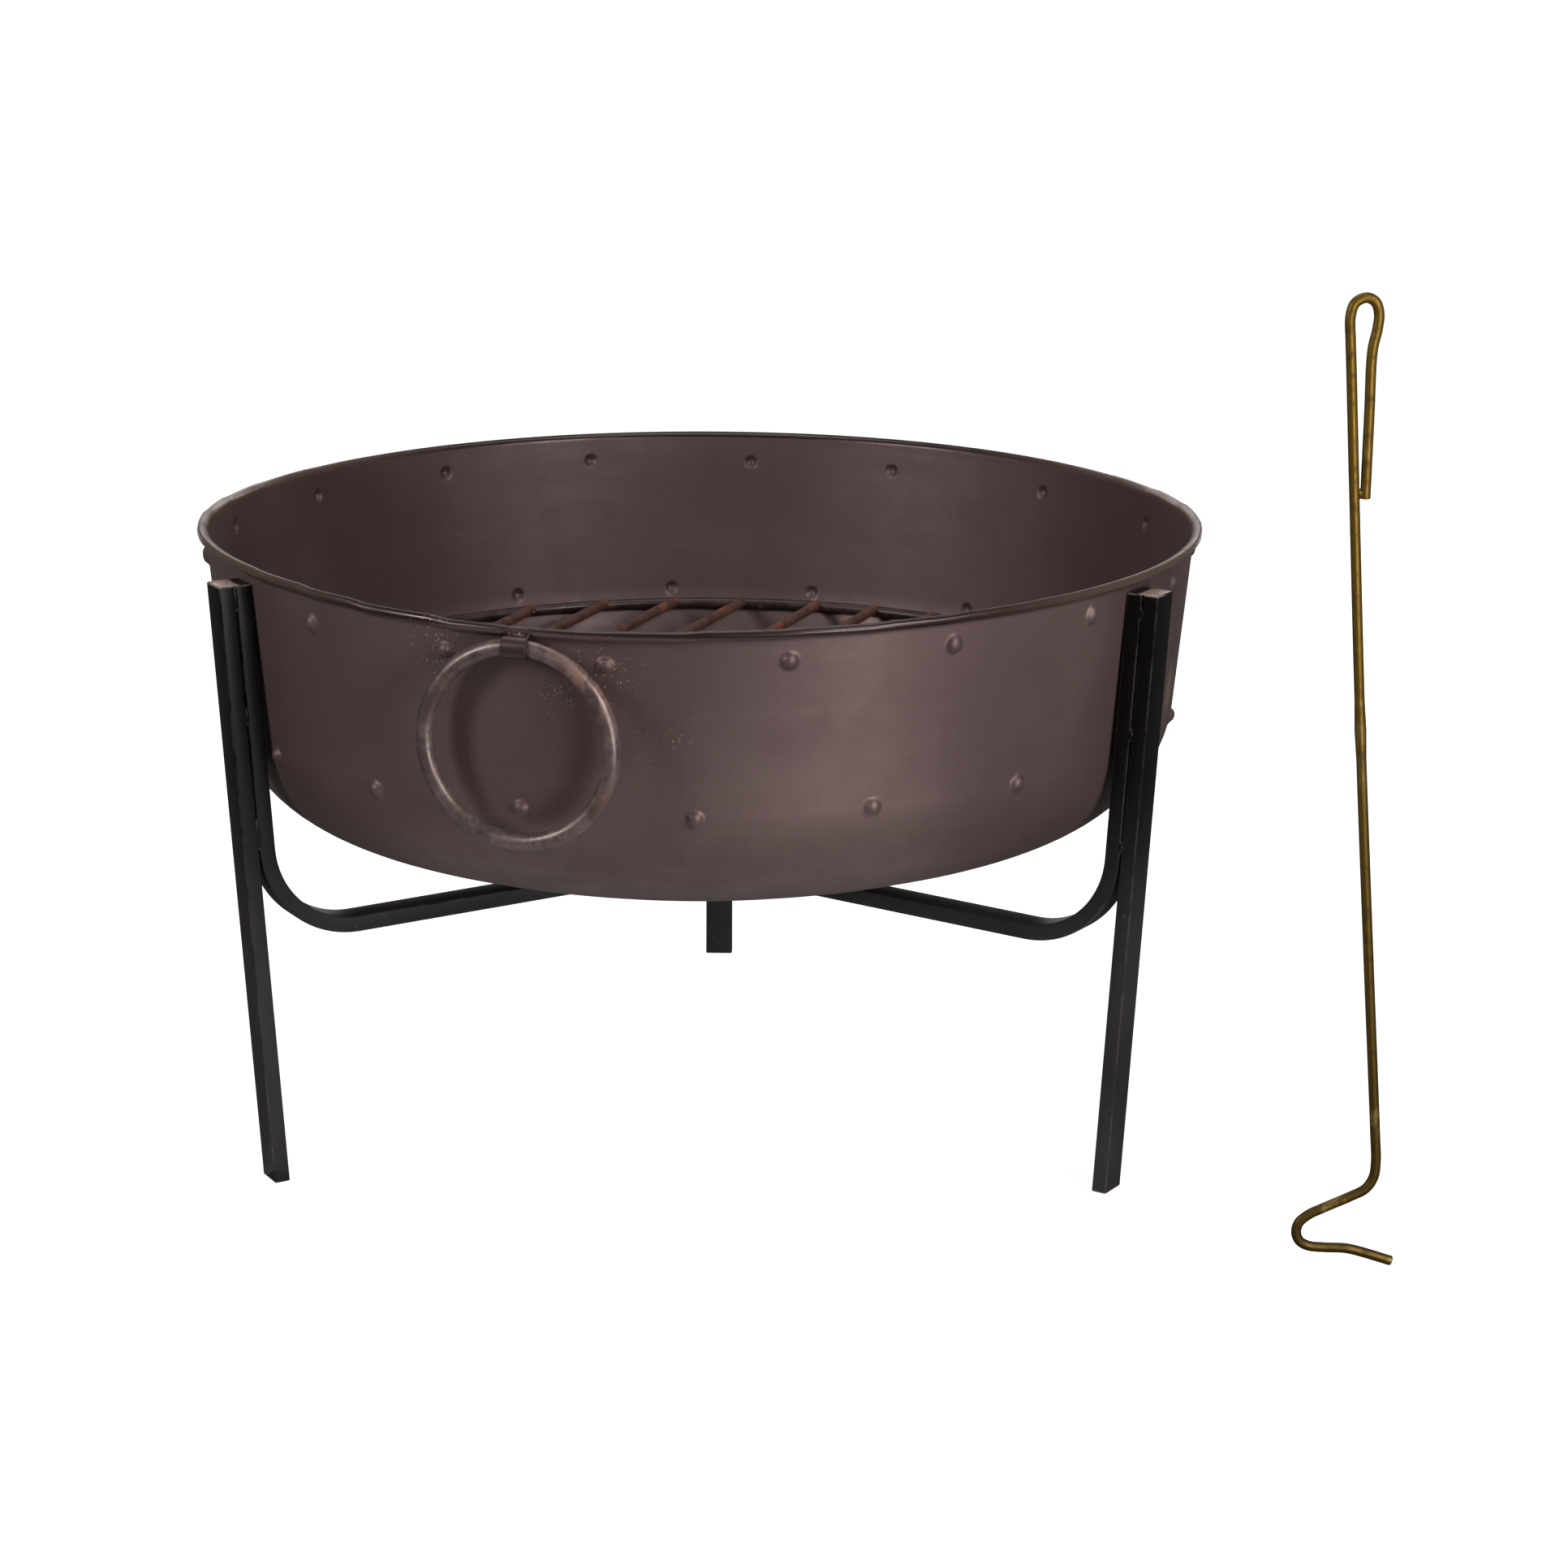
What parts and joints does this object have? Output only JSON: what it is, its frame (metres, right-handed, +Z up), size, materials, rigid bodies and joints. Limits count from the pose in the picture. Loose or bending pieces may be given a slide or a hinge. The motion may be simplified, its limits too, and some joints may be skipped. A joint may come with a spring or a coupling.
{
  "type": "fire bowl on stand",
  "caption": "Round sheet-steel fire bowl on a welded tube stand, with a lift-out bar grate, swinging ring handles and a bent-wire poker.",
  "frame": {"origin": "on the floor, at the middle of the footprint of the bowl, stand and poker together", "axes": "+Z up, +Y towards the back leg, +X towards the poker; the bowl's axis is 57.0 mm to -X and 3.7 mm to -Y of the origin"},
  "size_m": [0.814, 0.7272, 0.6353],
  "materials": {
    "stand_paint": "satin black paint",
    "bare_tube_end": "bare cut steel, slightly dull",
    "bowl_steel": "smooth satin brown-grey patina on sheet steel",
    "handle_steel": "dark scaled steel with worn bright streaks and rust",
    "grate_ring_steel": "black-brown fire-stained steel rod",
    "rusty_bar": "matte rusty steel rod",
    "poker_finish": "satin olive-brass lacquer on steel rod"
  },
  "bodies": {
    "stand": {"leg_tube_front_left": "stand_paint", "leg_tube_front_right": "stand_paint", "leg_tube_back": "stand_paint", "arm_tube_front_left": "stand_paint", "arm_tube_front_right": "stand_paint", "arm_tube_back": "stand_paint", "foot_plug_front_left": "stand_paint", "foot_plug_front_right": "stand_paint", "foot_plug_back": "stand_paint", "leg_cap_front_left": "bare_tube_end", "leg_cap_front_right": "bare_tube_end", "leg_cap_back": "bare_tube_end", "arm_cap_front_left": "stand_paint", "arm_cap_front_right": "stand_paint", "arm_cap_back": "stand_paint"},
    "bowl": {"bowl_shell": "bowl_steel", "handle_sleeve_front": "bowl_steel", "handle_sleeve_back": "bowl_steel"},
    "grate": {"grate_ring": "grate_ring_steel", "grate_bar_01": "rusty_bar", "grate_bar_02": "rusty_bar", "grate_bar_03": "rusty_bar", "grate_bar_04": "rusty_bar", "grate_bar_05": "rusty_bar", "grate_bar_06": "rusty_bar", "grate_bar_07": "rusty_bar", "grate_bar_08": "rusty_bar", "grate_bar_09": "rusty_bar", "grate_bar_10": "rusty_bar", "grate_bar_11": "rusty_bar", "grate_bar_12": "rusty_bar"},
    "handle_front": {"handle_ring_front": "handle_steel"},
    "handle_back": {"handle_ring_back": "handle_steel"},
    "poker": {"poker_rod": "poker_finish"}
  },
  "joints": [
    {"name": "bowl_lift", "type": "slide", "parent": "stand", "child": "bowl", "axis": [0, 0, 1], "range_m": [0, 0.26]},
    {"name": "grate_lift", "type": "slide", "parent": "bowl", "child": "grate", "axis": [0, 0, 1], "range_m": [0, 0.16]},
    {"name": "handle_front_swing", "type": "hinge", "parent": "bowl", "child": "handle_front", "pos_m": [-0.15734, -0.34035, 0.415], "axis": [-0.9583, 0.2857, 0], "range_deg": [-6, 150]},
    {"name": "handle_back_swing", "type": "hinge", "parent": "bowl", "child": "handle_back", "pos_m": [0.04338, 0.33296, 0.415], "axis": [0.9583, -0.2857, 0], "range_deg": [-6, 150]},
    {"name": "poker_lift", "type": "slide", "parent": "stand", "child": "poker", "axis": [0, 0, 1], "range_m": [0, 0.3]}
  ]
}
